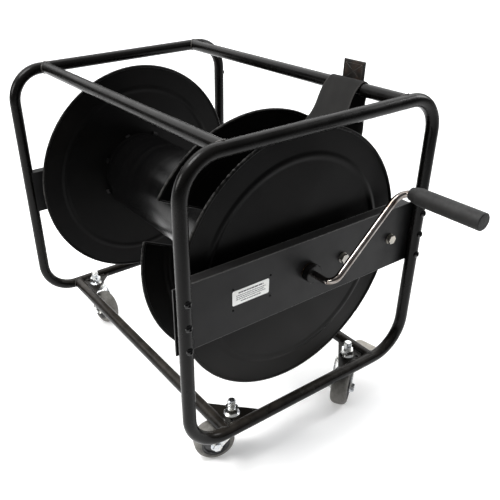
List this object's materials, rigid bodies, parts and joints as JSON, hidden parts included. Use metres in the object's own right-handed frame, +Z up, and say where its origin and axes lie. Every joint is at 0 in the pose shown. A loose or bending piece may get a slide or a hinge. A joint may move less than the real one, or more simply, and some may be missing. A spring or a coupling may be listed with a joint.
{
  "type": "cable drum",
  "caption": "Hand-cranked three-disc cable drum in a bent-tube frame on swivel castors, with a side tail compartment and a retaining strap.",
  "frame": {"origin": "on the floor, under the middle of the object's overall box", "axes": "+Z up, +X across the hoops, +Y from the crank end to the far end, parallel to the drum's axle"},
  "size_m": [0.6003, 0.9378, 0.7237],
  "materials": {
    "frame_paint": "semi-gloss black powder coat",
    "plate_paint": "satin black powder coat",
    "disc_paint": "satin black paint",
    "black_screw": "gloss black",
    "zinc": "bright zinc plate",
    "bush_bronze": "plain bearing bronze",
    "label_white": "matt printed film",
    "axle_steel": "turned steel",
    "chrome": "bright nickel-chrome",
    "grip_foam": "black foam rubber",
    "webbing": "woven dark grey webbing",
    "tyre_grey": "grey rubber",
    "hub_grey": "moulded grey plastic",
    "pedal_grey": "warm grey moulded plastic"
  },
  "bodies": {
    "frame": {"front_hoop": "frame_paint", "rear_hoop": "frame_paint", "top_left_rail": "frame_paint", "top_right_rail": "frame_paint", "bottom_left_rail": "frame_paint", "bottom_right_rail": "frame_paint", "gusset_front_left": "frame_paint", "gusset_front_right": "frame_paint", "gusset_rear_left": "frame_paint", "gusset_rear_right": "frame_paint", "hoop_screw": "black_screw", "front_cross_plate": "plate_paint", "rear_cross_plate": "plate_paint", "front_bearing_housing": "plate_paint", "rear_bearing_housing": "plate_paint", "front_axle_bush": "bush_bronze", "rear_axle_bush": "bush_bronze", "plate_screws": "black_screw", "plate_screw_nuts": "zinc", "plate_bolts": "zinc", "plate_bolt_washers": "zinc", "plate_bolt_nuts": "zinc", "label_plate": "label_white", "strap_loop": "webbing", "strap_end_tab": "webbing", "castor_stem_front_left": "zinc", "castor_stem_front_right": "zinc", "castor_stem_rear_left": "zinc", "castor_stem_rear_right": "zinc", "castor_nuts": "zinc"},
    "drum": {"drum_core": "disc_paint", "front_disc": "disc_paint", "middle_disc": "disc_paint", "rear_disc": "disc_paint", "core_lugs": "disc_paint", "hub_flanges": "frame_paint", "drum_axle": "axle_steel", "crank_collar": "plate_paint", "crank_arm": "chrome"},
    "grip": {"crank_grip": "grip_foam"},
    "castor_front_left": {"castor_fork_front_left": "zinc", "castor_axle_front_left": "zinc"},
    "wheel_front_left": {"castor_tyre_front_left": "tyre_grey", "castor_hub_front_left": "hub_grey"},
    "castor_front_right": {"castor_fork_front_right": "zinc", "castor_axle_front_right": "zinc", "brake_pin_front_right": "zinc"},
    "wheel_front_right": {"castor_tyre_front_right": "tyre_grey", "castor_hub_front_right": "hub_grey"},
    "pedal_front_right": {"brake_pedal_front_right": "pedal_grey"},
    "castor_rear_left": {"castor_fork_rear_left": "zinc", "castor_axle_rear_left": "zinc"},
    "wheel_rear_left": {"castor_tyre_rear_left": "tyre_grey", "castor_hub_rear_left": "hub_grey"},
    "castor_rear_right": {"castor_fork_rear_right": "zinc", "castor_axle_rear_right": "zinc", "brake_pin_rear_right": "zinc"},
    "wheel_rear_right": {"castor_tyre_rear_right": "tyre_grey", "castor_hub_rear_right": "hub_grey"},
    "pedal_rear_right": {"brake_pedal_rear_right": "pedal_grey"}
  },
  "joints": [
    {"name": "drum_spin", "type": "hinge", "parent": "frame", "child": "drum", "pos_m": [0, 0.1039, 0.3909], "axis": [0, -1, 0], "continuous": true},
    {"name": "grip_spin", "type": "hinge", "parent": "drum", "child": "grip", "pos_m": [0.15593, -0.3961, 0.53732], "axis": [0, -1, 0], "continuous": true},
    {"name": "swivel_front_left", "type": "hinge", "parent": "frame", "child": "castor_front_left", "pos_m": [-0.1626, -0.2111, 0.0802], "axis": [0, 0, 1], "continuous": true},
    {"name": "roll_front_left", "type": "hinge", "parent": "castor_front_left", "child": "wheel_front_left", "pos_m": [-0.19969, -0.19905, 0.043], "axis": [-0.309, -0.9511, 0], "continuous": true},
    {"name": "swivel_front_right", "type": "hinge", "parent": "frame", "child": "castor_front_right", "pos_m": [0.1626, -0.2111, 0.0802], "axis": [0, 0, 1], "continuous": true},
    {"name": "roll_front_right", "type": "hinge", "parent": "castor_front_right", "child": "wheel_front_right", "pos_m": [0.13027, -0.23291, 0.043], "axis": [0.5592, -0.829, 0], "continuous": true},
    {"name": "brake_front_right", "type": "hinge", "parent": "castor_front_right", "child": "pedal_front_right", "pos_m": [0.18427, -0.20728, 0.0812], "axis": [-0.1736, 0.9848, 0], "range_deg": [0, 12]},
    {"name": "swivel_rear_left", "type": "hinge", "parent": "frame", "child": "castor_rear_left", "pos_m": [-0.1626, 0.4189, 0.0802], "axis": [0, 0, 1], "continuous": true},
    {"name": "roll_rear_left", "type": "hinge", "parent": "castor_rear_left", "child": "wheel_rear_left", "pos_m": [-0.15852, 0.38011, 0.043], "axis": [0.9945, 0.1045, 0], "continuous": true},
    {"name": "swivel_rear_right", "type": "hinge", "parent": "frame", "child": "castor_rear_right", "pos_m": [0.1626, 0.4189, 0.0802], "axis": [0, 0, 1], "continuous": true},
    {"name": "roll_rear_right", "type": "hinge", "parent": "castor_rear_right", "child": "wheel_rear_right", "pos_m": [0.19823, 0.43476, 0.043], "axis": [-0.4067, 0.9135, 0], "continuous": true},
    {"name": "brake_rear_right", "type": "hinge", "parent": "castor_rear_right", "child": "pedal_rear_right", "pos_m": [0.1406, 0.4189, 0.0812], "axis": [0, -1, 0], "range_deg": [0, 12]}
  ]
}
